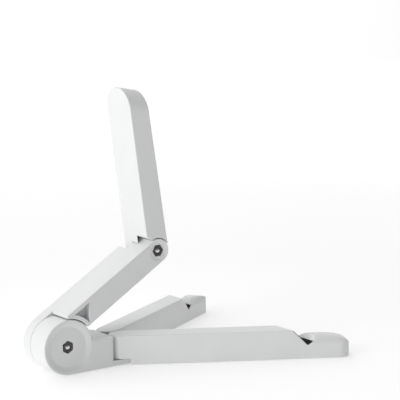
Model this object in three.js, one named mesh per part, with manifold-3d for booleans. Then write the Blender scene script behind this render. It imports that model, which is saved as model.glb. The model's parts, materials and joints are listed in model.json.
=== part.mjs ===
// Folding tablet stand: a hub knuckle on the floor, two legs that swing out from it, and an arm in
// two lengths that rises from the hub and folds at an elbow.
// Millimetres, +Z up, +X across the stand, +Y towards the tablet.
import * as THREE from 'three';
import { mergeVertices } from 'three/addons/utils/BufferGeometryUtils.js';
import Module from 'manifold-3d';

const wasm = await Module();
wasm.setup();

// ---- Driving dimensions -------------------------------------------------------------------------

// Pose in use, in degrees
const LOWER_ARM_ANGLE = 31.6; // above the floor
const UPPER_ARM_ANGLE = 97.3; // above the floor, so 7.3 back from upright
const LEG_ANGLE = 30.6; // each leg, out from straight ahead

// Clearances
const TOUCH_GAP = 0.3; // between pieces that rest on each other
const LAP_GAP = 0.3; // between the two halves of a half-lap joint
const RELIEF = 0.6; // round a disc that turns inside its neighbour

// Hub, knuckle and arms
const HALF_WIDTH = 11.6;
const HUB_RADIUS = 14.5;
const FLOOR_GAP = 0.35; // the mouldings ride this far above the floor, on rubber feet
const HUB_HEIGHT = FLOOR_GAP + HUB_RADIUS;
const LAP_X = -3.65; // middle plane of both half-lap joints
const KNUCKLE_FACE = LAP_X + LAP_GAP / 2;
const ARM_FACE = LAP_X - LAP_GAP / 2;
const KNUCKLE_FRONT = 27.8;
const KNUCKLE_CORNER = 2.2; // rounding of the knuckle's upright corners
const KNUCKLE_FAR_START = 7.5; // the far half starts here, where it is thick enough to mould
const TONGUE_FRONT = 37.5;
const TONGUE_ROOT = 8; // how far the tongue runs back into the knuckle
const TONGUE_TOP = 3.3;

const ARM_UNDERSIDE = 1.7; // above the hub axis
const ELBOW_ALONG = 71.6; // from the hub axis, along the lower arm
const ELBOW_RISE = 8.2; // from the hub axis, square to the lower arm
const ELBOW_RADIUS = 6.5;
const HUB_TRIM = 8.25; // where the near half of the lower arm starts, on its top face
// Where each arm's full width ends before the elbow: distance along it and height above the elbow
// axis, at its back face and at the relief round the disc
const ELBOW_TRIM = { corner: 8.9, reliefEnd: [6.3, 2.4] };
const ELBOW_STOP = { nearX: 2, depth: 3.4 }; // web that stops the elbow: its edge, and its root
const FOLD = UPPER_ARM_ANGLE - LOWER_ARM_ANGLE;
const UPPER_LENGTH = 90;
const UPPER_BACK = HUB_RADIUS - ELBOW_RISE;
const UPPER_FRONT = ELBOW_RISE - ARM_UNDERSIDE;
const UPPER_TAPER = 1.4; // how much thinner the tip is than the elbow end
const TAPER_TILT = Math.atan(UPPER_TAPER / UPPER_LENGTH);
const TIP_SLOPE = 16.5; // degrees that the tip's end is cut back from square, towards the front face

// Open triangular pocket between the curved wall round the hub and the lower arm's side plate
const SIDE_POCKET = { wallRadius: 17.2, top: 12.1, corner: 22.7, lowestAngle: 10.6, floorX: 6.6 };

// Blind pockets under the mouldings, in rows along each of them
const SKIN = 1.9;
const RIB = 1.5;
const POCKET_LENGTH = 7.8;
const LOWER_POCKETS = { start: 27.5, count: 3 };
const UPPER_POCKETS = { start: 12, count: 6 };
const LEG_POCKETS = { start: 17, count: 7 };

// Legs
const LEG_HALF = 6.35;
const LEG_TOP = 16.2;
const LEG_LENGTH = 124.3; // pivot to nose tip
const PIVOT_X = 6.5;
const PIVOT_Y = 34.5;
const STEP_AHEAD = 5.45; // the leg's underside drops to the floor this far past the pivot
const ROOT_UNDERSIDE = TONGUE_TOP + TOUCH_GAP;

// Nose of a leg, beyond the notch: its top falls in a quarter ellipse from the crest to the tip
const NOSE = { start: 88, crest: 104.5, tipHeight: 6.2, shoulder: 5, overrun: 0.5 };

// Notch for the tablet's edge, seen from the side: distance ahead of the pivots, and height
const NOTCH_BACK = [76.3, LEG_TOP];
const NOTCH_FLOOR_BACK = [83.5, 7.75];
const NOTCH_FLOOR_FRONT = [84.1, 7.75];
const NOTCH_LIP = [89.1, 12.75];
const NOTCH_CLEAR = { back: 4, up: 4.7 }; // how far the notch's cutter carries on past its back corner
const LINER_THICKNESS = 1.2;
const LINER_PROUD = 0.5;
const LINER_BORDER = 1.0; // plastic left showing on each side of the liner
const LINER_LINE = [[77.0, 15.37], NOTCH_FLOOR_BACK, NOTCH_FLOOR_FRONT, [85.9, 9.55]];

// M3 fasteners
const BOLT_RADIUS = 1.45;
const BOLT_CHAMFER = 0.4;
const BOLT_HOLE = 1.8;
const NUT_FLATS = 5.5;
const NUT_HEIGHT = 2.4;
const NUT_POCKET_FLATS = 6.1;
const HEAD_RADIUS = 2.9;
const HEAD_HEIGHT = 2.2;
const COUNTERBORE_RADIUS = 3.9;
const COUNTERBORE_FLOOR = -6.2;
const CROSS_RECESS = { half: 0.35, reach: 1.5, depth: 1.2 };
const FLAT_WASHER = { radius: 3.5, hole: 1.8, thickness: 0.5 };
const SPRING_WASHER = { radius: 3.0, hole: 1.8, thickness: 0.8, slit: 0.5 };
const SEAT_GAP = 0.1; // between a nut and the floor of its pocket
const HEAD_CROWN = { radius: 0.62, height: 0.45 }; // of the head's own: its flat top, and its side

// Dishes round the nuts and bolt heads, and the nylon washers inside the half-lap joints
const HUB_DISH = { rim: 13.4, floor: 10.6, depth: 1.1 };
const ELBOW_DISH = { rim: 5.8, floor: 4.3, depth: 0.6 };
const WASHER_THICKNESS = 0.7;
const WASHER_SINK = 0.8; // how far a friction washer is let into the disc that holds it
const WASHER_PLAY = 0.2; // between a friction washer and the disc that rubs on it
const HUB_WASHER = { radius: 9, hole: 2.2 };
const ELBOW_WASHER = { radius: 4.8, hole: 2.2 };

// Pivot screws, which stand in the tongue and hold the legs' roots
const PIVOT_HEAD = { radius: 2.8, height: 1.2, bore: 3.2, shelf: 1.95, gap: 0.25, chamfer: 0.3 };
const PIVOT_SCREW_END = 12.4;
const PIVOT_POINT = { length: 1, radius: 0.3 };
const PIVOT_HOLE_END = 13;
const PIVOT_RECESS = { half: 0.35, reach: 1.6, depth: 0.7 };
const PIVOT_WASHER = { radius: 4.8, hole: 2.2, thickness: 0.5, lift: 0.15 };

// Rubber feet, and the pad that the tablet's back leans on
const FOOT_THICKNESS = 1.15;
const KNUCKLE_FOOT = [-8, 8, 11, 22]; // X from and to, Y from and to
const KNUCKLE_FOOT_CORNER = 2;
const LEG_FOOT_RADIUS = 3.5;
const LEG_FEET = { rear: 11.3, front: 108 }; // ahead of the pivot
const PAD = { along: 74.6, radius: 6.8, sink: 1.0, thickness: 1.2, proud: 0.5 };

const BEYOND = 150; // far enough for a cutter to pass right through a moulding

// Sides on a full circle: fine on the hub and elbow discs, coarser on small round things
const FINE = 72;
const PLAIN = 24;
const SMALL = 20;
const CORNER = 6; // on each rounded corner of a plan
const LEG_END_STEPS = 24; // round each end of a leg
const NOSE_STEPS = 16; // on the falling top of a nose
const SHOULDER_STEPS = 12; // on its round shoulders

// ---- Finishes -----------------------------------------------------------------------------------

const finish = (color, roughness, metalness) =>
  new THREE.MeshStandardMaterial({ color, roughness, metalness });
const PLASTIC = finish(0xececec, 0.42, 0);
const STEEL = finish(0xb9bbbd, 0.3, 0.9);
const NYLON = finish(0xdedcd4, 0.5, 0);
const RUBBER = finish(0x101010, 0.85, 0);

// ---- Solids -------------------------------------------------------------------------------------

const radians = THREE.MathUtils.degToRad;

function solidFrom(geometry) {
  const bare = geometry.clone();
  bare.deleteAttribute('normal');
  bare.deleteAttribute('uv');
  const merged = mergeVertices(bare, 1e-4);
  return new wasm.Manifold(new wasm.Mesh({
    numProp: 3,
    vertProperties: Float32Array.from(merged.attributes.position.array),
    triVerts: Uint32Array.from(merged.index.array),
  }));
}

function geometryFrom(solid) {
  const mesh = solid.getMesh();
  const geometry = new THREE.BufferGeometry();
  geometry.setAttribute('position', new THREE.BufferAttribute(mesh.vertProperties, 3));
  geometry.setIndex(new THREE.BufferAttribute(mesh.triVerts, 1));
  geometry.computeVertexNormals();
  return geometry;
}

const joined = (solids) => solids.reduce((whole, solid) => whole.add(solid));
const less = (solid, cutters) => cutters.reduce((rest, cutter) => rest.subtract(cutter), solid);

const outline = (points) => new THREE.Shape(points.map(([x, y]) => new THREE.Vector2(x, y)));

// steps is the number of sides on each arc of the shape
function extrude(shape, depth, steps = PLAIN) {
  return new THREE.ExtrudeGeometry(shape, { depth, bevelEnabled: false, curveSegments: steps / 2 });
}

// A side view, drawn as (Y, Z), that runs across the stand from x0 to x1
function acrossX(shape, x0, x1, steps) {
  const turn = new THREE.Matrix4().makeBasis(
    new THREE.Vector3(0, 1, 0), new THREE.Vector3(0, 0, 1), new THREE.Vector3(1, 0, 0));
  return solidFrom(extrude(shape, x1 - x0, steps).applyMatrix4(turn).translate(x0, 0, 0));
}

// A plan view, drawn as (X, Y), that stands from z0 to z1
const upZ = (shape, z0, z1, steps) => solidFrom(extrude(shape, z1 - z0, steps).translate(0, 0, z0));

// A front view, drawn as (X, Z), that runs from y0 to y1
function alongY(shape, y0, y1, steps) {
  return solidFrom(extrude(shape, y1 - y0, steps).rotateX(Math.PI / 2).translate(0, y1, 0));
}

function circle(x, y, radius) {
  const shape = new THREE.Shape();
  shape.absarc(x, y, radius, 0, Math.PI * 2, false);
  return shape;
}

function ring(outer, inner) {
  const shape = circle(0, 0, outer);
  shape.holes.push(circle(0, 0, inner));
  return shape;
}

function hexagon(flats) {
  const corner = flats / Math.sqrt(3);
  return outline(Array.from({ length: 6 }, (_, i) => {
    const angle = radians(60 * i + 30);
    return [corner * Math.cos(angle), corner * Math.sin(angle)];
  }));
}

function roundedBox(x0, x1, y0, y1, radius) {
  const shape = new THREE.Shape();
  shape.absarc(x1 - radius, y0 + radius, radius, -Math.PI / 2, 0, false);
  shape.absarc(x1 - radius, y1 - radius, radius, 0, Math.PI / 2, false);
  shape.absarc(x0 + radius, y1 - radius, radius, Math.PI / 2, Math.PI, false);
  shape.absarc(x0 + radius, y0 + radius, radius, Math.PI, Math.PI * 1.5, false);
  return shape;
}

const box = (x0, x1, y0, y1, z0, z1) => upZ(outline([[x0, y0], [x1, y0], [x1, y1], [x0, y1]]), z0, z1);
const sides = (radius) => (radius > 6 ? FINE : radius > 3 ? PLAIN : SMALL);
const discX = (y, z, radius, x0, x1) => acrossX(circle(y, z, radius), x0, x1, sides(radius));
const discZ = (x, y, radius, z0, z1) => upZ(circle(x, y, radius), z0, z1, sides(radius));

// A round body on the X axis, drawn as (radius, x) from the axis back to the axis
function turnedX(points, y = 0, z = 0) {
  const profile = points.map(([radius, x]) => new THREE.Vector2(radius, x));
  const lathe = new THREE.LatheGeometry(profile, sides(Math.max(...points.map(([radius]) => radius))));
  return solidFrom(lathe.rotateZ(-Math.PI / 2).translate(0, y, z));
}

// A shallow dish with a sloping wall, cut into the face at x; the dish goes in along side * -X
function dishX(y, z, x, side, rimRadius, floorRadius, depth) {
  const clear = 1;
  const points = [[0, x + side * clear], [rimRadius, x + side * clear], [rimRadius, x],
    [floorRadius, x - side * depth], [0, x - side * depth]];
  return turnedX(side > 0 ? points.reverse() : points, y, z);
}

// The hexagonal pocket for a trapped nut, cut into the face at x
function nutPocket(y, z, x) {
  const depth = NUT_HEIGHT + TOUCH_GAP + SEAT_GAP;
  return acrossX(hexagon(NUT_POCKET_FLATS), x - depth, x + 1).translate([0, y, z]);
}

// A strip of even thickness along a line of points, reaching `inner` to the right of travel and
// `outer` to the left
function strip(points, inner, outer) {
  const offset = (distance) => points.map((point, i) => {
    const normals = [[i - 1, i], [i, i + 1]]
      .filter(([a, b]) => a >= 0 && b < points.length)
      .map(([a, b]) => {
        const [dx, dy] = [points[b][0] - points[a][0], points[b][1] - points[a][1]];
        const length = Math.hypot(dx, dy);
        return new THREE.Vector2(-dy / length, dx / length);
      });
    const mitre = normals.reduce((sum, n) => sum.add(n), new THREE.Vector2()).normalize();
    const reach = distance / mitre.dot(normals[0]);
    return [point[0] + mitre.x * reach, point[1] + mitre.y * reach];
  });
  return outline([...offset(-inner), ...offset(outer).reverse()]);
}

function node(name, solid, material) {
  const mesh = new THREE.Mesh(geometryFrom(solid), material);
  mesh.name = name;
  return mesh;
}

// ---- Knuckle ------------------------------------------------------------------------------------
// Drawn with the floor at Z = 0 and the hub axis above Y = 0.

function baseKnuckle() {
  const disc = discX(0, HUB_HEIGHT, HUB_RADIUS, KNUCKLE_FACE, HALF_WIDTH);
  const nearBody = acrossX(outline([[0, FLOOR_GAP], [KNUCKLE_FRONT, FLOOR_GAP], [KNUCKLE_FRONT, LEG_TOP],
    [0, LEG_TOP]]), KNUCKLE_FACE, HALF_WIDTH);
  const farBody = acrossX(outline([[KNUCKLE_FAR_START, FLOOR_GAP], [KNUCKLE_FRONT, FLOOR_GAP],
    [KNUCKLE_FRONT, LEG_TOP], [KNUCKLE_FAR_START, LEG_TOP]]), -HALF_WIDTH, KNUCKLE_FACE);
  const farRelief = discX(0, HUB_HEIGHT, HUB_RADIUS + RELIEF, -HALF_WIDTH - 1, KNUCKLE_FACE);
  const wallPlan = upZ(roundedBox(-HALF_WIDTH, HALF_WIDTH, -2 * HUB_RADIUS, KNUCKLE_FRONT, KNUCKLE_CORNER),
    -1, 2 * HUB_HEIGHT, CORNER);
  const body = joined([nearBody, less(farBody, [farRelief])]).intersect(wallPlan);
  const tongue = box(-HALF_WIDTH, HALF_WIDTH, KNUCKLE_FRONT - TONGUE_ROOT, TONGUE_FRONT, FLOOR_GAP,
    TONGUE_TOP);

  const footRecess = KNUCKLE_FOOT.map((edge, i) => edge + (i % 2 ? TOUCH_GAP : -TOUCH_GAP));
  const cutters = [
    dishX(0, HUB_HEIGHT, HALF_WIDTH, 1, HUB_DISH.rim, HUB_DISH.floor, HUB_DISH.depth),
    nutPocket(0, HUB_HEIGHT, HALF_WIDTH - HUB_DISH.depth),
    discX(0, HUB_HEIGHT, BOLT_HOLE, -HALF_WIDTH - 1, HALF_WIDTH + 1),
    discX(0, HUB_HEIGHT, HUB_WASHER.radius + TOUCH_GAP, KNUCKLE_FACE - 1, KNUCKLE_FACE + WASHER_SINK),
    upZ(roundedBox(...footRecess, KNUCKLE_FOOT_CORNER), -1, FOOT_THICKNESS + TOUCH_GAP, CORNER),
  ];
  for (const side of [-1, 1]) {
    cutters.push(discZ(side * PIVOT_X, PIVOT_Y, PIVOT_HEAD.bore, -1, PIVOT_HEAD.shelf));
    cutters.push(discZ(side * PIVOT_X, PIVOT_Y, BOLT_HOLE, -1, TONGUE_TOP + 1));
  }
  return less(joined([disc, body, tongue]), cutters);
}

// ---- Arms ---------------------------------------------------------------------------------------
// Each arm is drawn lying along +Y from its own axis, top face up.

// Blind pockets that leave a skin, side walls, a middle rib and cross ribs
function ribbedPockets({ start, count }, z0, z1) {
  const cutters = [];
  for (let i = 0; i < count; i += 1) {
    const y0 = start + i * (POCKET_LENGTH + RIB);
    cutters.push(box(-HALF_WIDTH + SKIN, -RIB / 2, y0, y0 + POCKET_LENGTH, z0, z1));
    cutters.push(box(RIB / 2, HALF_WIDTH - SKIN, y0, y0 + POCKET_LENGTH, z0, z1));
  }
  return cutters;
}

function lowerArm() {
  const clear = HUB_RADIUS * 1.4;
  const side = new THREE.Shape();
  side.absarc(0, 0, HUB_RADIUS, Math.PI / 2, Math.PI * 2 + Math.asin(ARM_UNDERSIDE / HUB_RADIUS), false);
  side.lineTo(ELBOW_ALONG, ARM_UNDERSIDE);
  side.absarc(ELBOW_ALONG, ELBOW_RISE, ELBOW_RADIUS, -Math.PI / 2, Math.PI / 2, false);
  side.lineTo(ELBOW_ALONG - 2, HUB_RADIUS);
  const bar = acrossX(side, -HALF_WIDTH, HALF_WIDTH, FINE * 0.6);

  const hubRelief = joined([
    discX(0, 0, HUB_RADIUS + RELIEF, ARM_FACE, HALF_WIDTH + 1),
    acrossX(outline([[0, 0], [HUB_TRIM * 1.2, HUB_RADIUS * 1.2], [-clear, HUB_RADIUS * 1.2],
      [-clear, -clear], [HUB_RADIUS, -clear], [HUB_RADIUS, 0]]), ARM_FACE, HALF_WIDTH + 1),
  ]);
  const elbowRelief = joined([
    discX(ELBOW_ALONG, ELBOW_RISE, ELBOW_RADIUS + RELIEF, -HALF_WIDTH - 1, KNUCKLE_FACE),
    acrossX(outline(elbowTrim().map(([along, height]) => [ELBOW_ALONG - along, ELBOW_RISE + height])),
      -HALF_WIDTH - 1, KNUCKLE_FACE),
  ]);

  const cutters = [
    hubRelief,
    elbowRelief,
    sidePocket(),
    discX(0, 0, BOLT_HOLE, -HALF_WIDTH - 1, 0),
    discX(0, 0, COUNTERBORE_RADIUS, -HALF_WIDTH - 1, COUNTERBORE_FLOOR),
    dishX(0, 0, -HALF_WIDTH, -1, HUB_DISH.rim, HUB_DISH.floor, HUB_DISH.depth),
    dishX(ELBOW_ALONG, ELBOW_RISE, HALF_WIDTH, 1, ELBOW_DISH.rim, ELBOW_DISH.floor, ELBOW_DISH.depth),
    nutPocket(ELBOW_ALONG, ELBOW_RISE, HALF_WIDTH - ELBOW_DISH.depth),
    discX(ELBOW_ALONG, ELBOW_RISE, BOLT_HOLE, -HALF_WIDTH, HALF_WIDTH + 1),
    discX(ELBOW_ALONG, ELBOW_RISE, ELBOW_WASHER.radius + TOUCH_GAP, KNUCKLE_FACE - 1,
      KNUCKLE_FACE + WASHER_SINK),
    ...ribbedPockets(LOWER_POCKETS, ARM_UNDERSIDE - 1, HUB_RADIUS - SKIN),
  ];
  return less(bar, cutters);
}

// What is cut away so that an arm's full width stops short of the elbow. The line runs from the
// relief round the disc out to the corner on the back face, and on past it.
function elbowTrim() {
  const far = 2 * HALF_WIDTH;
  const { reliefEnd } = ELBOW_TRIM;
  const corner = [ELBOW_TRIM.corner, UPPER_BACK];
  const beyond = [2 * corner[0] - reliefEnd[0], 2 * corner[1] - reliefEnd[1]];
  return [reliefEnd, corner, beyond, [-far, beyond[1]], [-far, -far], [0, -far], [0, 0]];
}

function sidePocket() {
  const { wallRadius, top, corner, lowestAngle, floorX } = SIDE_POCKET;
  const shape = new THREE.Shape();
  shape.absarc(0, 0, wallRadius, Math.asin(top / wallRadius), radians(lowestAngle), true);
  shape.lineTo(corner, top);
  return acrossX(shape, floorX, HALF_WIDTH + 1);
}

function upperArm() {
  const tipFront = -UPPER_FRONT + UPPER_TAPER;
  const side = new THREE.Shape();
  side.absarc(0, 0, ELBOW_RADIUS, Math.PI / 2, Math.PI * 1.5, false);
  side.lineTo(UPPER_LENGTH, tipFront);
  side.lineTo(UPPER_LENGTH, UPPER_BACK);
  side.lineTo(2, UPPER_BACK);

  const tombstone = new THREE.Shape();
  const tipCentre = UPPER_LENGTH - HALF_WIDTH;
  tombstone.absarc(0, tipCentre, HALF_WIDTH, 0, Math.PI, false);
  tombstone.lineTo(-HALF_WIDTH, -2 * ELBOW_RADIUS);
  tombstone.lineTo(HALF_WIDTH, -2 * ELBOW_RADIUS);
  const slope = Math.tan(radians(TIP_SLOPE));
  const tip = extrude(tombstone, 4 * UPPER_FRONT, FINE / 2)
    .translate(0, 0, -2 * UPPER_FRONT)
    .applyMatrix4(new THREE.Matrix4().makeShear(0, 0, 0, 0, 0, slope))
    .translate(0, -slope * UPPER_BACK, 0);
  const bar = acrossX(side, -HALF_WIDTH, HALF_WIDTH).intersect(solidFrom(tip));

  const elbowRelief = joined([
    discX(0, 0, ELBOW_RADIUS + RELIEF, ARM_FACE, HALF_WIDTH + 1),
    acrossX(outline(elbowTrim()), ARM_FACE, HALF_WIDTH + 1).subtract(elbowStop()),
  ]);
  const padFace = frontFaceAt(PAD.along);
  const cutters = [
    elbowRelief,
    discX(0, 0, BOLT_HOLE, -HALF_WIDTH - 1, 0),
    discX(0, 0, COUNTERBORE_RADIUS, -HALF_WIDTH - 1, COUNTERBORE_FLOOR),
    padSlab(PAD.radius + TOUCH_GAP, padFace - 2 * PAD.thickness, padFace + PAD.sink),
    ...ribbedPockets(UPPER_POCKETS, -UPPER_FRONT - 1, UPPER_BACK - SKIN),
  ];
  return less(bar, cutters);
}

// A web left standing beside the elbow. It slopes from the far half's wall out to the back face, and
// its end lands on the top of the lower arm in the pose in use.
function elbowStop() {
  const { nearX, depth } = ELBOW_STOP;
  const slope = depth / (nearX - ARM_FACE);
  const section = outline([[ARM_FACE - 1, UPPER_BACK - depth - slope],
    [nearX + 1 / slope, UPPER_BACK + 1], [ARM_FACE - 1, UPPER_BACK + 1]]);
  const top = UPPER_BACK + TOUCH_GAP;
  const lowerArmSide = acrossX(outline([[-BEYOND, -BEYOND], [BEYOND, -BEYOND], [BEYOND, top],
    [-BEYOND, top]]), -HALF_WIDTH, HALF_WIDTH).rotate([-FOLD, 0, 0]);
  return alongY(section, 0, 2 * ELBOW_TRIM.corner).subtract(lowerArmSide);
}

const frontFaceAt = (along) => -UPPER_FRONT + UPPER_TAPER * along / UPPER_LENGTH;

// A round slab set square to the sloping front face of the upper arm
function padSlab(radius, z0, z1) {
  const middle = frontFaceAt(PAD.along);
  const geometry = extrude(circle(0, 0, radius), z1 - z0)
    .translate(0, 0, z0 - middle)
    .rotateX(TAPER_TILT)
    .translate(0, PAD.along, middle);
  return solidFrom(geometry);
}

// ---- Legs ---------------------------------------------------------------------------------------
// Each leg is drawn pointing straight ahead from its pivot. side is 1 on the right, -1 on the left.

// Turns something drawn square to the tablet into the leg's own direction
const skewed = (solid, side) => solid.rotate([0, 0, side * LEG_ANGLE]);

function legPlan() {
  const shape = new THREE.Shape();
  shape.absarc(0, 0, LEG_HALF, Math.PI, Math.PI * 2, false);
  shape.absarc(0, LEG_LENGTH - LEG_HALF, LEG_HALF, 0, Math.PI, false);
  return shape;
}

// The nose beyond the notch falls away in a curve, with round shoulders
function noseBlank() {
  const { start, crest, tipHeight, shoulder, overrun } = NOSE;
  const end = LEG_LENGTH + overrun;
  const fall = new THREE.Shape();
  fall.moveTo(start, 0);
  fall.lineTo(end, 0);
  fall.absellipse(crest, tipHeight, end - crest, NOTCH_LIP[1] - tipHeight, 0, Math.PI / 2, false, 0);
  fall.lineTo(start, NOTCH_LIP[1]);
  const section = new THREE.Shape();
  section.moveTo(-LEG_HALF, 0);
  section.lineTo(LEG_HALF, 0);
  section.absarc(LEG_HALF - shoulder, NOTCH_LIP[1] - shoulder, shoulder, 0, Math.PI / 2, false);
  section.absarc(shoulder - LEG_HALF, NOTCH_LIP[1] - shoulder, shoulder, Math.PI / 2, Math.PI, false);
  return acrossX(fall, -LEG_HALF, LEG_HALF, NOSE_STEPS)
    .intersect(alongY(section, start, end + 1, SHOULDER_STEPS));
}

function leg(side) {
  const reach = 3 * LEG_HALF;
  const [backY, floorY] = [NOTCH_BACK[0] - NOTCH_CLEAR.back, NOTCH_FLOOR_BACK[0]];
  const blank = upZ(legPlan(), FLOOR_GAP, LEG_TOP, LEG_END_STEPS);
  const beyondNotch = skewed(acrossX(outline([[floorY, -1], [BEYOND, -1], [BEYOND, 2 * LEG_TOP],
    [floorY, 2 * LEG_TOP]]), -BEYOND, BEYOND), side);
  const body = joined([less(blank, [beyondNotch]), blank.intersect(beyondNotch).intersect(noseBlank())]);
  const notch = skewed(acrossX(outline([NOTCH_BACK, NOTCH_FLOOR_BACK, NOTCH_FLOOR_FRONT, NOTCH_LIP,
    [NOTCH_LIP[0] + 1, 2 * LEG_TOP], [backY, 2 * LEG_TOP], [backY, LEG_TOP + NOTCH_CLEAR.up]]),
  -BEYOND, BEYOND), side);
  const cutters = [
    notch,
    box(-reach, reach, -reach, STEP_AHEAD, -1, ROOT_UNDERSIDE),
    discZ(0, 0, BOLT_HOLE, 0, PIVOT_HOLE_END),
    discZ(0, 0, PIVOT_WASHER.radius + TOUCH_GAP, 0, ROOT_UNDERSIDE + PIVOT_WASHER.thickness),
    linerBand(side, LINER_THICKNESS - LINER_PROUD + TOUCH_GAP, 2, LINER_BORDER - TOUCH_GAP),
  ];
  for (const along of Object.values(LEG_FEET)) {
    cutters.push(discZ(0, along, LEG_FOOT_RADIUS + TOUCH_GAP, -1, FOOT_THICKNESS + TOUCH_GAP));
  }
  for (let i = 0; i < LEG_POCKETS.count; i += 1) {
    const y0 = LEG_POCKETS.start + i * (POCKET_LENGTH + RIB);
    cutters.push(box(-LEG_HALF + SKIN, LEG_HALF - SKIN, y0, y0 + POCKET_LENGTH, -1, LEG_TOP - SKIN));
  }
  return less(body, cutters);
}

// The liner's strip, or with more depth and less border the recess it sits in
function linerBand(side, inner, outer, border) {
  const band = skewed(acrossX(strip(LINER_LINE, inner, outer), -BEYOND, BEYOND), side);
  return band.intersect(box(border - LEG_HALF, LEG_HALF - border, 0, LEG_LENGTH, 0, 2 * LEG_TOP));
}

// ---- Fasteners, washers, feet -------------------------------------------------------------------

// Lies along X with its head on the far side; x0 is the seat of the head and x1 the end of the shank
function bolt(x0, x1) {
  const top = x0 - HEAD_HEIGHT;
  const body = turnedX([[0, top], [HEAD_RADIUS * HEAD_CROWN.radius, top],
    [HEAD_RADIUS, x0 - HEAD_HEIGHT * HEAD_CROWN.height], [HEAD_RADIUS, x0], [BOLT_RADIUS, x0],
    [BOLT_RADIUS, x1 - BOLT_CHAMFER], [BOLT_RADIUS - BOLT_CHAMFER, x1], [0, x1]]);
  return less(body, crossRecess(top));
}

function crossRecess(x) {
  const { half, reach, depth } = CROSS_RECESS;
  return [
    box(x - 1, x + depth, -reach, reach, -half, half),
    box(x - 1, x + depth, -half, half, -reach, reach),
  ];
}

function nut(x) {
  const blank = acrossX(hexagon(NUT_FLATS), x, x + NUT_HEIGHT);
  return blank.subtract(discX(0, 0, BOLT_HOLE, x - 1, x + NUT_HEIGHT + 1));
}

const washer = ({ radius, hole }, x, thickness) =>
  acrossX(ring(radius, hole), x, x + thickness, sides(radius));

// The washer under a bolt head that keeps it tight: a ring cut through at one place
function springWasher(x) {
  const { radius, thickness, slit } = SPRING_WASHER;
  const cut = acrossX(outline([[1, -slit / 2], [radius + 1, -slit / 2], [radius + 1, slit / 2],
    [1, slit / 2]]), x - 1, x + thickness + 1);
  return washer(SPRING_WASHER, x, thickness).subtract(cut);
}

// Everything clamped by one cross bolt: the head end sits in the far side's counterbore
function boltStack(prefix, nutFloor, washerSize) {
  const nutSeat = HALF_WIDTH - nutFloor - NUT_HEIGHT - SEAT_GAP;
  const flatWasherX = COUNTERBORE_FLOOR - TOUCH_GAP - FLAT_WASHER.thickness;
  const springWasherX = flatWasherX - TOUCH_GAP - SPRING_WASHER.thickness;
  const frictionWasherX = ARM_FACE + WASHER_PLAY;
  return [
    node(`${prefix}_bolt`, bolt(springWasherX - TOUCH_GAP, nutSeat + NUT_HEIGHT - SEAT_GAP), STEEL),
    node(`${prefix}_nut`, nut(nutSeat), STEEL),
    node(`${prefix}_flat_washer`, washer(FLAT_WASHER, flatWasherX, FLAT_WASHER.thickness), STEEL),
    node(`${prefix}_spring_washer`, springWasher(springWasherX), STEEL),
    node(`${prefix}_friction_washer`, washer(washerSize, frictionWasherX, WASHER_THICKNESS), NYLON),
  ];
}

// Stands along Z with its head in the tongue and its shank up in the leg's root
function pivotScrew() {
  const headTop = PIVOT_HEAD.shelf - PIVOT_HEAD.gap;
  const headBottom = headTop - PIVOT_HEAD.height;
  const end = PIVOT_SCREW_END;
  const { half, reach, depth } = PIVOT_RECESS;
  const body = turnedX([[0, -headBottom], [PIVOT_HEAD.radius - PIVOT_HEAD.chamfer, -headBottom],
    [PIVOT_HEAD.radius, -headBottom - PIVOT_HEAD.chamfer], [PIVOT_HEAD.radius, -headTop],
    [BOLT_RADIUS, -headTop], [BOLT_RADIUS, PIVOT_POINT.length - end], [PIVOT_POINT.radius, -end],
    [0, -end]].reverse());
  return less(body.rotate([0, 90, 0]), [
    box(-reach, reach, -half, half, -1, headBottom + depth),
    box(-half, half, -reach, reach, -1, headBottom + depth),
  ]);
}

// ---- Assembly -----------------------------------------------------------------------------------

function placed(children, position, rotation = [0, 0, 0]) {
  const group = new THREE.Group();
  group.add(...children);
  group.position.set(...position);
  group.rotation.set(...rotation.map(radians));
  return group;
}

const upperArmGroup = placed([
  node('upper_arm', upperArm(), PLASTIC),
  node('tablet_rest_pad', padSlab(PAD.radius, frontFaceAt(PAD.along) - PAD.proud,
    frontFaceAt(PAD.along) - PAD.proud + PAD.thickness), RUBBER),
], [0, ELBOW_ALONG, ELBOW_RISE], [FOLD, 0, 0]);

const lowerArmGroup = placed([
  node('lower_arm', lowerArm(), PLASTIC),
  placed(boltStack('elbow', ELBOW_DISH.depth, ELBOW_WASHER), [0, ELBOW_ALONG, ELBOW_RISE]),
  upperArmGroup,
], [0, 0, HUB_HEIGHT], [LOWER_ARM_ANGLE, 0, 0]);

function legGroup(name, side) {
  const liner = linerBand(side, LINER_THICKNESS - LINER_PROUD, LINER_PROUD, LINER_BORDER);
  const washerZ = TONGUE_TOP + PIVOT_WASHER.lift;
  const washerShape = ring(PIVOT_WASHER.radius, PIVOT_WASHER.hole);
  const parts = [
    node(`${name}_leg`, leg(side), PLASTIC),
    node(`${name}_notch_liner`, liner, RUBBER),
    node(`${name}_pivot_screw`, pivotScrew(), STEEL),
    node(`${name}_pivot_washer`, upZ(washerShape, washerZ, washerZ + PIVOT_WASHER.thickness, PLAIN), NYLON),
  ];
  for (const [end, along] of Object.entries(LEG_FEET)) {
    parts.push(node(`${name}_${end}_foot`, discZ(0, along, LEG_FOOT_RADIUS, 0, FOOT_THICKNESS), RUBBER));
  }
  return placed(parts, [side * PIVOT_X, PIVOT_Y, 0], [0, 0, -side * LEG_ANGLE]);
}

const stand = new THREE.Group();
stand.add(
  node('base_knuckle', baseKnuckle(), PLASTIC),
  node('knuckle_foot', upZ(roundedBox(...KNUCKLE_FOOT, KNUCKLE_FOOT_CORNER), 0, FOOT_THICKNESS, CORNER),
    RUBBER),
  placed(boltStack('hub', HUB_DISH.depth, HUB_WASHER), [0, 0, HUB_HEIGHT]),
  lowerArmGroup,
  legGroup('right', 1),
  legGroup('left', -1),
);

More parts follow.
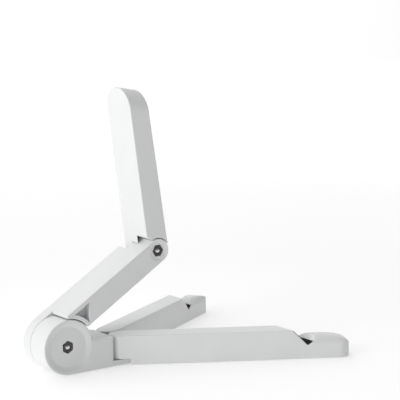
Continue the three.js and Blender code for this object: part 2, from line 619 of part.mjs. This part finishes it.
// The origin is on the floor, under the middle of the stand's box in its pose in use
const extent = new THREE.Box3().setFromObject(stand, true);
stand.position.y = -(extent.min.y + extent.max.y) / 2;
stand.updateMatrixWorld(true);

export default stand;
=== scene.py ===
"""Looks of a folding tablet stand: white moulded plastic, steel M3 fasteners, nylon washers and rubber.

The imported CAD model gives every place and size. Shapes are worked out in millimetres and scaled to
metres when a piece is made. The stand folds about the X axis, and its legs swing about Z.
"""

import json
import math

import bmesh
import bpy
from mathutils import Matrix, Vector


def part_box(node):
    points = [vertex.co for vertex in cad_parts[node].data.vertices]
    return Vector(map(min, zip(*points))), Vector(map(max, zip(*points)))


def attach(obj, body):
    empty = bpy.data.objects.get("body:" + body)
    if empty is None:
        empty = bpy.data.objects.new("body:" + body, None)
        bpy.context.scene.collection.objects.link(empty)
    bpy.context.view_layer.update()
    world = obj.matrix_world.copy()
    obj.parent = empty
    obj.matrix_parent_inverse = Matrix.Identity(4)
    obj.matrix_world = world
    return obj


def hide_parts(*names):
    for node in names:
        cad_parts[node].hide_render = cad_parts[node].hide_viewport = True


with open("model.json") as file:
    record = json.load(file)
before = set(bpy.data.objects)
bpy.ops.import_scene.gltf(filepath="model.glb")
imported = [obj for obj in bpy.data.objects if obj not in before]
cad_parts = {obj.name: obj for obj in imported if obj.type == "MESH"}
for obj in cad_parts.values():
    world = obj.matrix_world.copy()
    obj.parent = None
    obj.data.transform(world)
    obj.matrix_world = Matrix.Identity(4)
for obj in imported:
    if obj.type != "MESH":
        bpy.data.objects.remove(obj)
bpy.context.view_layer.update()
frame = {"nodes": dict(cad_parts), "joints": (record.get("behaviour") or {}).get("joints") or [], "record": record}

# ---- Driving sizes, in millimetres unless they say otherwise ------------------------------------

MM = 0.001
SHARP_ANGLE = math.radians(19)  # edges sharper than this are rounded
FLAT_ANGLE = math.radians(0.4)  # triangles closer to flat than this become one face
MERGE = 0.02
EDGE_STEPS = 4
EDGE_RADIUS = 0.45  # on most edges of the mouldings
LAP_FROM, LAP_TO = -3.9, -3.4  # the faces of the half-lap joints lie in this slice of X
LAP_RADIUS = 0.1
POCKET_RADIUS = 0.12  # round the nut pockets, the holes and the elbow's dish
POCKET_REACH = {"hub_hinge": 4.0, "elbow_hinge": 6.1}
SIDE_POCKET_RADIUS = 0.2
SIDE_POCKET_SPAN = (17, 26)  # from the hub's axis; no other edge of the lower arm lies within it
RUBBER_RADIUS = 0.25

# M3 fasteners
SHANK = 1.45  # radius of the screws
THREAD_PITCH = 0.5
THREAD_DEPTH = 0.27
THREAD_LENGTH = 7.0
THREAD_STEPS = 8  # rings in each turn of a thread
THREAD_SLOPE = 1.25  # above 1, the thread's roots are flat
BOLT = {"head": 2.2, "dome": 0.95, "softness": 0.3, "tip": 0.35}
BOLT_CROWN = 0.55  # the flat top of its head, of the head's radius
SCREW = {"head": 1.2, "bevel": 0.3, "softness": 0.15, "plain": 1.0, "tip": 0.1}
SCREW_POINT = {"length": 1.0, "radius": 0.3}
BOLT_CROSS = {"reach": 1.5, "width": 0.7, "depth": 1.2}
SCREW_CROSS = {"reach": 1.6, "width": 0.7, "depth": 0.7}
CROSS_TAPER = (0.45, 0.8)  # the cross's reach and width at its floor, of those at its mouth
NUT = {"flats": 5.5, "hole": 1.5, "hole_bevel": 0.28, "edge": 0.07}
NUT_BARREL = {"face": 0.97, "slope": 0.627, "clearance": 0.02, "softness": 0.03}  # trims its corners
SPRING = {"outer": 3.0, "inner": 1.8, "gap": math.radians(9), "rise": 0.16, "edge": 0.1}
SPRING_STEPS = 72
FLAT_WASHER = {"hole": 1.8, "edge": 0.1}
FRICTION_WASHER = {"hole": 2.2, "edge": 0.15}
PIVOT_WASHER = {"hole": 2.2, "edge": 0.12}

FOOT_HOLLOW = {"depth": 0.25, "floor": 0.5, "rim": 0.62}  # floor and rim are of the foot's radius
ROUND_STEPS = 64  # sides of round pieces
SIDE_SHARE = 0.45  # the most of a side that one rounded corner takes
TO_Z = Matrix.Rotation(-math.pi / 2, 4, "Y")  # stands something drawn along X upright

# Camera, measured from the hub axis
CAMERA_FROM_HUB = Vector((0.5665, -0.3114, 0.1624))
CAMERA_HEADING = math.radians(54.49)  # turned from +Y towards -X
CAMERA_DIP = math.radians(7.75)
CAMERA_ROLL = math.radians(-0.77)
CAMERA_LENS = 112.7

# Studio: the world's brightness on its dark and bright sides, and two large soft lights
BRIGHT_SIDE = Vector((-1, 0, 0))
WALL_GLOW = (0, 1.15)
FLOOR_RADIUS = 6.0
FLOOR_SIDES = 96
FLOOR_GREYS = (0.88, 0.9)
FLOOR_GLOW = (0.27, 0.55)  # beside the stand, and out where it meets the wall
FLOOR_FADE = (0.3, 1.6)  # metres from the stand over which it changes
LAMP_SIZE = 0.9
LAMPS = {"front_lamp": ((0.2, -1.3, 0.4), 7.2), "top_lamp": ((0.1, -0.1, 1.3), 3.2)}  # place, watts
LAMP_AIM = Vector((0, 0.06, 0.05))  # from the hub, as the lamps' places are

# ---- Frame --------------------------------------------------------------------------------------

BODY_OF = {
    node: body
    for body, members in frame["record"]["behaviour"]["bodies"].items()
    for node in members
}
JOINT_AT = {j["name"]: Vector(j["pos_m"]) for j in frame["joints"]}
HUB = JOINT_AT["hub_hinge"]


# ---- Materials ----------------------------------------------------------------------------------

def material(name, **sockets):
    """A material with the given numbers on its shader, and the tools to add detail to it."""
    made = bpy.data.materials.new(name)
    made.use_nodes = True
    shader = made.node_tree.nodes["Principled BSDF"]
    for socket, value in sockets.items():
        shader.inputs[socket.replace("_", " ")].default_value = value
    return made, made.node_tree, shader


def noise(tree, scale, detail=4.0, roughness=0.55, stretch=(1, 1, 1)):
    """Noise in the object's own space; scale is in lumps per metre."""
    place = tree.nodes.new("ShaderNodeTexCoord")
    turn = tree.nodes.new("ShaderNodeMapping")
    turn.inputs["Scale"].default_value = stretch
    texture = tree.nodes.new("ShaderNodeTexNoise")
    texture.inputs["Scale"].default_value = scale
    texture.inputs["Detail"].default_value = detail
    texture.inputs["Roughness"].default_value = roughness
    tree.links.new(place.outputs["Object"], turn.inputs["Vector"])
    tree.links.new(turn.outputs["Vector"], texture.inputs["Vector"])
    return texture.outputs["Fac"]


def spread(tree, value, low, high, start=0.3, end=0.7):
    """value, which runs from start to end, brought to run from low to high."""
    node = tree.nodes.new("ShaderNodeMapRange")
    for socket, number in zip(("From Min", "From Max", "To Min", "To Max"), (start, end, low, high)):
        node.inputs[socket].default_value = number
    tree.links.new(value, node.inputs["Value"])
    return node.outputs["Result"]


def tinted(tree, value, dark, light):
    """A colour that runs from dark to light with value."""
    node = tree.nodes.new("ShaderNodeMix")
    node.data_type = "RGBA"
    node.inputs["A"].default_value = (*dark, 1)
    node.inputs["B"].default_value = (*light, 1)
    tree.links.new(value, node.inputs["Factor"])
    return node.outputs["Result"]


def bump(tree, shader, height, depth, strength=1.0):
    """Raises the surface by height; depth is in metres."""
    node = tree.nodes.new("ShaderNodeBump")
    node.inputs["Distance"].default_value = depth
    node.inputs["Strength"].default_value = strength
    tree.links.new(height, node.inputs["Height"])
    tree.links.new(node.outputs["Normal"], shader.inputs["Normal"])


def white_plastic():
    made, tree, shader = material("white_plastic", IOR=1.52)
    cloud = noise(tree, 45)
    tree.links.new(tinted(tree, spread(tree, cloud, 0, 1), (0.77, 0.775, 0.78), (0.80, 0.805, 0.81)),
                   shader.inputs["Base Color"])
    tree.links.new(spread(tree, noise(tree, 260), 0.36, 0.46), shader.inputs["Roughness"])
    bump(tree, shader, noise(tree, 2600, detail=2), 0.00003, 0.35)
    return made


def steel(name, dark, light):
    """Plated steel in a range of greys."""
    made, tree, shader = material(name, Metallic=1.0)
    cloud = spread(tree, noise(tree, 900), 0, 1)
    tree.links.new(tinted(tree, cloud, (dark,) * 3, (light,) * 3), shader.inputs["Base Color"])
    tree.links.new(spread(tree, noise(tree, 1500), 0.22, 0.42), shader.inputs["Roughness"])
    bump(tree, shader, noise(tree, 4200, detail=3, stretch=(0.15, 1, 1)), 0.00002, 0.4)
    return made


def nylon():
    made, tree, shader = material("nylon", IOR=1.53)
    cloud = spread(tree, noise(tree, 300), 0, 1)
    tree.links.new(tinted(tree, cloud, (0.72, 0.71, 0.67), (0.78, 0.77, 0.73)),
                   shader.inputs["Base Color"])
    tree.links.new(spread(tree, noise(tree, 700), 0.42, 0.58), shader.inputs["Roughness"])
    return made


def black_rubber():
    made, tree, shader = material("black_rubber", IOR=1.5, Specular_IOR_Level=0.25)
    cloud = spread(tree, noise(tree, 500), 0, 1)
    tree.links.new(tinted(tree, cloud, (0.004, 0.004, 0.0045), (0.009, 0.009, 0.0095)),
                   shader.inputs["Base Color"])
    tree.links.new(spread(tree, noise(tree, 900), 0.62, 0.82), shader.inputs["Roughness"])
    bump(tree, shader, noise(tree, 3500), 0.00006, 0.6)
    return made


PLASTIC, NYLON, RUBBER = white_plastic(), nylon(), black_rubber()
STEEL, DARK_STEEL = steel("steel", 0.6, 0.76), steel("dark_steel", 0.06, 0.1)


# ---- Mesh tools ---------------------------------------------------------------------------------

def softened(outline, radius, steps=4, closed=True):
    """The corners of a flat outline rounded to radius, or less where its sides are short."""
    count, out = len(outline), []
    for i, corner in enumerate(outline):
        if not closed and i in (0, count - 1):
            out.append(corner)
            continue
        here = Vector(corner)
        before, after = Vector(outline[i - 1]) - here, Vector(outline[(i + 1) % count]) - here
        half = before.angle(after) / 2
        shorter = min(before.length, after.length)
        reach = min(radius / math.tan(half), shorter * SIDE_SHARE)
        start, end = here + before.normalized() * reach, here + after.normalized() * reach
        for step in range(steps + 1):
            t = step / steps
            out.append(tuple(start * (1 - t) ** 2 + here * 2 * t * (1 - t) + end * t * t))
    return out


def turned(rings, closed=False):
    """A round body on the X axis. Each ring is (x, radius); a radius may be a function of the angle.
    The rings run from the axis back to it, or closed on themselves."""
    bm = bmesh.new()
    made = []
    for x, radius in rings:
        if radius == 0:
            made.append([bm.verts.new((x, 0, 0))] * ROUND_STEPS)
            continue
        angles = [2 * math.pi * i / ROUND_STEPS for i in range(ROUND_STEPS)]
        reach = [radius(a) if callable(radius) else radius for a in angles]
        made.append([bm.verts.new((x, r * math.cos(a), r * math.sin(a))) for a, r in zip(angles, reach)])
    pairs = list(zip(made, made[1:])) + ([(made[-1], made[0])] if closed else [])
    for one, other in pairs:
        for i in range(ROUND_STEPS):
            j = (i + 1) % ROUND_STEPS
            corners = list(dict.fromkeys([one[i], one[j], other[j], other[i]]))
            if len(corners) > 2:
                bm.faces.new(corners)
    bmesh.ops.recalc_face_normals(bm, faces=bm.faces)
    return bm


def extruded(outline, depth):
    """A flat outline in the Y Z plane, drawn out along +X."""
    bm = bmesh.new()
    ends = [[bm.verts.new((x, y, z)) for y, z in outline] for x in (0, depth)]
    bm.faces.new(ends[0])
    bm.faces.new(ends[1])
    for i in range(len(outline)):
        j = (i + 1) % len(outline)
        bm.faces.new([ends[0][i], ends[0][j], ends[1][j], ends[1][i]])
    bmesh.ops.recalc_face_normals(bm, faces=bm.faces)
    return bm


def as_mesh(bm, name):
    mesh = bpy.data.meshes.new(name)
    bm.to_mesh(mesh)
    bm.free()
    return mesh


def applied(mesh, kind, **settings):
    """The mesh with one modifier worked into it."""
    holder = bpy.data.objects.new("holder", mesh)
    bpy.context.scene.collection.objects.link(holder)
    modifier = holder.modifiers.new("step", kind)
    for setting, value in settings.items():
        setattr(modifier, setting, value)
    graph = bpy.context.evaluated_depsgraph_get()
    made = bpy.data.meshes.new_from_object(holder.evaluated_get(graph), depsgraph=graph)
    bpy.data.objects.remove(holder)
    return made


def combined(mesh, other, operation):
    """The two closed meshes joined, cut or crossed."""
    tool = bpy.data.objects.new("tool", other)
    bpy.context.scene.collection.objects.link(tool)
    made = applied(mesh, "BOOLEAN", operation=operation, solver="EXACT", object=tool)
    bpy.data.objects.remove(tool)
    return made


def rounded(mesh, radius, steps=EDGE_STEPS, limit="ANGLE"):
    """The mesh with its sharp edges rounded, shaded smooth, and flat where its faces are flat."""
    made = applied(smooth(mesh), "BEVEL", width=radius, segments=steps, limit_method=limit,
                   angle_limit=SHARP_ANGLE, use_clamp_overlap=False, loop_slide=True)
    return applied(smooth(made), "WEIGHTED_NORMAL", mode="FACE_AREA", weight=50)


def smooth(mesh):
    for face in mesh.polygons:
        face.use_smooth = True
    return mesh


def cad_shape(node):
    """A CAD node's shape in millimetres, its split corners merged and its flat triangles joined."""
    bm = bmesh.new()
    bm.from_mesh(frame["nodes"][node].data)
    bmesh.ops.scale(bm, vec=(1 / MM,) * 3, verts=bm.verts)
    bmesh.ops.remove_doubles(bm, verts=bm.verts, dist=MERGE)
    bmesh.ops.dissolve_limit(bm, angle_limit=FLAT_ANGLE, verts=bm.verts, edges=bm.edges)
    open_corners(bm)
    return bm


def open_corners(bm):
    """Redraws the lines that split a flat face round its holes, so that none runs close beside an
    edge that will be rounded."""
    bmesh.ops.triangulate(bm, faces=bm.faces, ngon_method="BEAUTY")
    lines = [e for e in bm.edges if e.is_manifold and e.calc_face_angle(0) < FLAT_ANGLE]
    for line in sorted(lines, key=narrowest_corner):
        bmesh.ops.dissolve_edges(bm, edges=[line], use_verts=False)


def narrowest_corner(line):
    """The smallest angle between a line across a flat face and the edges at its ends."""
    angles = []
    for corner in line.verts:
        along = line.other_vert(corner).co - corner.co
        angles += [along.angle(edge.other_vert(corner).co - corner.co, math.pi)
                   for edge in corner.link_edges if edge.calc_face_angle(0) > SHARP_ANGLE]
    return min(angles, default=math.pi)


def piece(node, mesh, finish, place=Matrix.Identity(4)):
    """Puts a mesh drawn in millimetres in the scene, in place of the CAD node it stands for."""
    mesh.transform(Matrix.Scale(MM, 4) @ place)
    mesh.name = f"{node}_piece"
    mesh.materials.clear()
    mesh.materials.append(finish)
    made = bpy.data.objects.new(mesh.name, mesh)
    bpy.context.scene.collection.objects.link(made)
    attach(made, BODY_OF[node])
    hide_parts(node)


# ---- Mouldings ----------------------------------------------------------------------------------

def from_axis(point, joint):
    """How far a point is from a joint's X axis, in millimetres."""
    axis = JOINT_AT[joint] / MM
    return math.hypot(point.y - axis.y, point.z - axis.z)


def edge_radius(node, edge):
    """The radius that an edge of a moulding is rounded to."""
    ends = [v.co for v in edge.verts]
    if all(LAP_FROM < p.x < LAP_TO for p in ends):
        return LAP_RADIUS
    for joint, reach in POCKET_REACH.items():
        if all(from_axis(p, joint) < reach for p in ends):
            return POCKET_RADIUS
    near, far = SIDE_POCKET_SPAN
    if node == "lower_arm" and all(near < from_axis(p, "hub_hinge") < far for p in ends):
        return SIDE_POCKET_RADIUS
    return EDGE_RADIUS


def moulding(node):
    """The CAD moulding with each edge rounded as a tool would leave it."""
    bm = cad_shape(node)
    layer = bm.edges.layers.float.new("bevel_weight_edge")
    for edge in bm.edges:
        if edge.is_manifold and edge.calc_face_angle(0) > SHARP_ANGLE:
            edge[layer] = edge_radius(node, edge) / EDGE_RADIUS
    return rounded(as_mesh(bm, node), EDGE_RADIUS, limit="WEIGHT")


def mouldings():
    for node in ("base_knuckle", "lower_arm", "upper_arm", "left_leg", "right_leg"):
        piece(node, moulding(node), PLASTIC)


# ---- Fasteners and washers ----------------------------------------------------------------------

def seat(node, upright=False):
    """(low end, high end, radius, place) of a round node that lies along X, or stands upright, in
    millimetres. place takes what is drawn on the X axis to the node."""
    low, high = (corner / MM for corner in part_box(node))
    middle = (low + high) / 2
    if upright:
        return low.z, high.z, (high.x - low.x) / 2, Matrix.Translation((middle.x, middle.y, 0)) @ TO_Z
    return low.x, high.x, (high.z - low.z) / 2, Matrix.Translation((0, middle.y, middle.z))


def corner_turn(node, place):
    """How far a hexagon on the X axis is turned: the angle of one of its corners."""
    points = [place.inverted() @ (v.co / MM) for v in frame["nodes"][node].data.vertices]
    far = max(points, key=lambda p: p.y * p.y + p.z * p.z)
    return math.atan2(far.z, far.y)


def hexagon(flats, turn):
    corner = flats / math.sqrt(3)
    angles = [turn + math.radians(60 * i) for i in range(6)]
    return [(corner * math.cos(a), corner * math.sin(a)) for a in angles]


def thread(start, end, radius, chamfer):
    """Rings of a screw thread that fades in at the start and is chamfered at the end."""
    count = round((end - start) / THREAD_PITCH * THREAD_STEPS)
    rings = []
    for i in range(count + 1):
        x = start + (end - start) * i / count
        depth = THREAD_DEPTH * min(1.0, (x - start) / THREAD_PITCH)
        limit = min(radius, radius - chamfer + (end - x))

        def reach(angle, x=x, depth=depth, limit=limit):
            turn = (x / THREAD_PITCH - angle / (2 * math.pi)) % 1.0
            wave = min(1.0, abs(2 * turn - 1) * THREAD_SLOPE)
            return min(limit, radius - depth * wave)

        rings.append((x, reach))
    return rings


def cross_cutter(x, reach, width, depth):
    """A tapered cross that opens at x and runs depth into the head, along +X."""
    mesh = None
    floor_reach, floor_width = CROSS_TAPER
    for turn in (0, math.pi / 2):
        bm = bmesh.new()
        bmesh.ops.create_cube(bm, size=1)
        for v in bm.verts:
            inside = v.co.x > 0
            v.co = Vector((x + (depth if inside else -1.0),
                           v.co.y * 2 * reach * (floor_reach if inside else 1.0),
                           v.co.z * width * (floor_width if inside else 1.0)))
        bmesh.ops.rotate(bm, verts=bm.verts, matrix=Matrix.Rotation(turn, 3, "X"), cent=(0, 0, 0))
        bmesh.ops.recalc_face_normals(bm, faces=bm.faces)
        arm = as_mesh(bm, "arm")
        mesh = arm if mesh is None else combined(mesh, arm, "UNION")
    return mesh


def cross_bolt(node):
    """A pan-head screw along X, head at low X, threaded where its nut sits."""
    low, high, head, place = seat(node)
    under, threaded = low + BOLT["head"], high - THREAD_LENGTH
    top = softened([(low, 0), (low, head * BOLT_CROWN), (low + BOLT["dome"], head), (under, head),
                    (under, SHANK)], BOLT["softness"], closed=False)
    rings = top + [(threaded, SHANK)] + thread(threaded, high, SHANK, BOLT["tip"]) + [(high, 0)]
    body = smooth(as_mesh(turned(rings), node))
    cut = combined(body, cross_cutter(low, **BOLT_CROSS), "DIFFERENCE")
    piece(node, cut, STEEL, place)


def pivot_screw(node):
    """A low-headed screw that stands upright, head down, threaded to its blunt point."""
    low, high, head, place = seat(node, upright=True)
    under, bevel = low + SCREW["head"], SCREW["bevel"]
    top = softened([(low, 0), (low, head - bevel), (low + bevel, head), (under, head), (under, SHANK)],
                   SCREW["softness"], closed=False)
    threaded = thread(under + SCREW["plain"], high - SCREW_POINT["length"], SHANK, SCREW["tip"])
    point = [(high, SCREW_POINT["radius"]), (high, 0)]
    body = smooth(as_mesh(turned(top + threaded + point), node))
    cut = combined(body, cross_cutter(low, **SCREW_CROSS), "DIFFERENCE")
    piece(node, cut, STEEL, place)


def hex_nut(node):
    """A nut with its corners turned off at both ends, and a chamfered hole."""
    low, high, _, place = seat(node)
    hole, bevel, width = NUT["hole"], NUT["hole_bevel"], high - low
    blank = as_mesh(extruded(hexagon(NUT["flats"], corner_turn(node, place)), width), node)
    face = NUT["flats"] / 2 * NUT_BARREL["face"]
    corner = NUT["flats"] / math.sqrt(3)
    drop = (corner - face) * NUT_BARREL["slope"]
    reach = corner + NUT_BARREL["clearance"]
    barrel = softened([(0, hole + bevel), (0, face), (drop, reach), (width - drop, reach),
                       (width, face), (width, hole + bevel), (width - bevel, hole), (bevel, hole)],
                      NUT_BARREL["softness"], steps=1)
    nut = combined(blank, as_mesh(turned(barrel, closed=True), "barrel"), "INTERSECT")
    made = rounded(nut, NUT["edge"], steps=2)
    piece(node, made, DARK_STEEL, place @ Matrix.Translation((low, 0, 0)))


def ring(node, finish, slot, hole, edge, upright=False):
    """A washer with rounded edges."""
    low, high, outer, place = seat(node, upright)
    rings = softened([(low, hole), (low, outer), (high, outer), (high, hole)], edge)
    piece(node, smooth(as_mesh(turned(rings, closed=True), node)), finish, place)


def spring_washer(node):
    """One turn of square wire, cut through, its ends sprung a little apart."""
    low, high, _, place = seat(node)
    inner, outer, gap, rise = (SPRING[key] for key in ("inner", "outer", "gap", "rise"))
    thick = high - low - rise
    wire = softened([(0, inner), (0, outer), (thick, outer), (thick, inner)], SPRING["edge"])
    bm = bmesh.new()
    sections = []
    for i in range(SPRING_STEPS + 1):
        share = i / SPRING_STEPS
        angle = gap / 2 + (2 * math.pi - gap) * share
        sections.append([bm.verts.new((low + rise * share + x, r * math.cos(angle), r * math.sin(angle)))
                         for x, r in wire])
    for one, other in zip(sections, sections[1:]):
        for i in range(len(wire)):
            j = (i + 1) % len(wire)
            bm.faces.new([one[i], one[j], other[j], other[i]])
    bm.faces.new(sections[0])
    bm.faces.new(sections[-1])
    bmesh.ops.recalc_face_normals(bm, faces=bm.faces)
    piece(node, smooth(as_mesh(bm, node)), STEEL, place)


def fasteners():
    for joint in ("hub", "elbow"):
        cross_bolt(f"{joint}_bolt")
        hex_nut(f"{joint}_nut")
        ring(f"{joint}_flat_washer", STEEL, "steel", **FLAT_WASHER)
        spring_washer(f"{joint}_spring_washer")
        ring(f"{joint}_friction_washer", NYLON, "nylon", **FRICTION_WASHER)
    for side in ("left", "right"):
        pivot_screw(f"{side}_pivot_screw")
        ring(f"{side}_pivot_washer", NYLON, "nylon", upright=True, **PIVOT_WASHER)


# ---- Rubber pieces ------------------------------------------------------------------------------

def round_foot(node):
    """A rubber disc with a shallow hollow under it, so that it grips by its rim."""
    low, high, outer, place = seat(node, upright=True)
    inside, floor, rim = low + FOOT_HOLLOW["depth"], FOOT_HOLLOW["floor"], FOOT_HOLLOW["rim"]
    rings = softened([(inside, 0), (inside, outer * floor), (low, outer * rim), (low, outer),
                      (high, outer), (high, 0)], RUBBER_RADIUS, closed=False)
    piece(node, smooth(as_mesh(turned(rings), node)), RUBBER, place)


def soft_edged(node):
    """A rubber piece of the CAD node's own shape with its edges rounded."""
    made = rounded(as_mesh(cad_shape(node), node), RUBBER_RADIUS, steps=3)
    piece(node, made, RUBBER)


def rubber_pieces():
    for node in ("knuckle_foot", "tablet_rest_pad", "left_notch_liner", "right_notch_liner"):
        soft_edged(node)
    for side in ("left", "right"):
        for end in ("rear", "front"):
            round_foot(f"{side}_{end}_foot")


# ---- Stage --------------------------------------------------------------------------------------

def stage():
    """A floor that glows more with distance, so that it meets the walls without a line."""
    bm = bmesh.new()
    bmesh.ops.create_circle(bm, cap_ends=True, segments=FLOOR_SIDES, radius=FLOOR_RADIUS)
    floor = bpy.data.objects.new("floor", as_mesh(bm, "floor"))
    made, tree, shader = material("floor", Roughness=0.9)
    place = tree.nodes.new("ShaderNodeTexCoord")
    distance = tree.nodes.new("ShaderNodeVectorMath")
    distance.operation = "LENGTH"
    tree.links.new(place.outputs["Object"], distance.inputs[0])
    glow = spread(tree, distance.outputs["Value"], *FLOOR_GLOW, *FLOOR_FADE)
    tree.links.new(glow, shader.inputs["Emission Strength"])
    shader.inputs["Emission Color"].default_value = (1, 1, 1, 1)
    shader.inputs["Specular IOR Level"].default_value = 0.1
    cloud = spread(tree, noise(tree, 3), 0, 1)
    dark, light = ((grey,) * 3 for grey in FLOOR_GREYS)
    tree.links.new(tinted(tree, cloud, dark, light), shader.inputs["Base Color"])
    floor.data.materials.append(made)
    bpy.context.scene.collection.objects.link(floor)
    studio_walls()
    for name, (place, power) in LAMPS.items():
        area_light(name, place, power)


def studio_walls():
    """A pale room that is brightest on the side of BRIGHT_SIDE and falls off evenly to the other."""
    world = bpy.data.worlds.new("studio")
    world.use_nodes = True
    tree = world.node_tree
    place = tree.nodes.new("ShaderNodeTexCoord")
    along = tree.nodes.new("ShaderNodeVectorMath")
    along.operation = "DOT_PRODUCT"
    along.inputs[1].default_value = BRIGHT_SIDE.normalized()
    tree.links.new(place.outputs["Generated"], along.inputs[0])
    tree.nodes["Background"].inputs["Color"].default_value = (1, 1, 1, 1)
    strength = spread(tree, along.outputs["Value"], *WALL_GLOW, -1, 1)
    tree.links.new(strength, tree.nodes["Background"].inputs["Strength"])
    bpy.context.scene.world = world


def area_light(name, place, power):
    """A square soft light aimed at the stand, place in metres from the hub."""
    light = bpy.data.lights.new(name, "AREA")
    light.size = LAMP_SIZE
    light.energy = power
    lamp = bpy.data.objects.new(name, light)
    lamp.location = HUB + Vector(place)
    aim = HUB + LAMP_AIM - lamp.location
    lamp.rotation_euler = aim.to_track_quat("-Z", "Y").to_euler()
    bpy.context.scene.collection.objects.link(lamp)


def camera():
    made = bpy.data.cameras.new("camera")
    made.lens = CAMERA_LENS
    made.clip_start = 0.01
    holder = bpy.data.objects.new("camera", made)
    heading = Matrix.Rotation(CAMERA_HEADING, 4, "Z")
    dip = Matrix.Rotation(math.pi / 2 - CAMERA_DIP, 4, "X")
    roll = Matrix.Rotation(CAMERA_ROLL, 4, "Z")
    holder.matrix_world = Matrix.Translation(HUB + CAMERA_FROM_HUB) @ heading @ dip @ roll
    bpy.context.scene.collection.objects.link(holder)
    bpy.context.scene.camera = holder
    bpy.context.scene.view_settings.view_transform = "Standard"


camera()
stage()
mouldings()
fasteners()
rubber_pieces()
